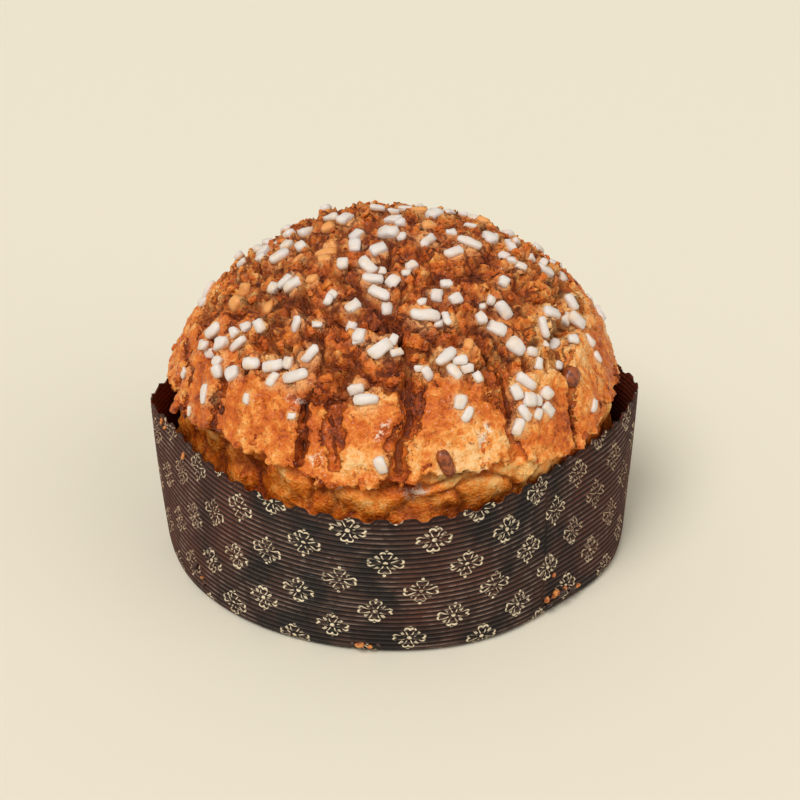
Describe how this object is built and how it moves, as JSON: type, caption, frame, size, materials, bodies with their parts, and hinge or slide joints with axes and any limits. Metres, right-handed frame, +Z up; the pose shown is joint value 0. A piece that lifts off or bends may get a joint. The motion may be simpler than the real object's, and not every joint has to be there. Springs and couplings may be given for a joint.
{
  "type": "panettone",
  "caption": "Low domed sweet bread with a cracked brown glaze and pearl sugar, baked in a round printed paper mould with a scalloped rim.",
  "frame": {"origin": "middle of the foot, on the surface that the mould stands on", "axes": "+Z up through the crown of the loaf; the side shown in the picture faces -Y"},
  "size_m": [0.2171, 0.2338, 0.1483],
  "materials": {
    "crust": "baked golden brown glaze with pearl sugar, satin",
    "mould_paper": "dark brown greaseproof paper with gold print, slightly glossy",
    "pearl_sugar": "opaque white sugar nuggets, satin"
  },
  "bodies": {
    "root": {"panettone": "crust", "paper_wall": "mould_paper", "paper_base": "mould_paper"}
  },
  "joints": []
}
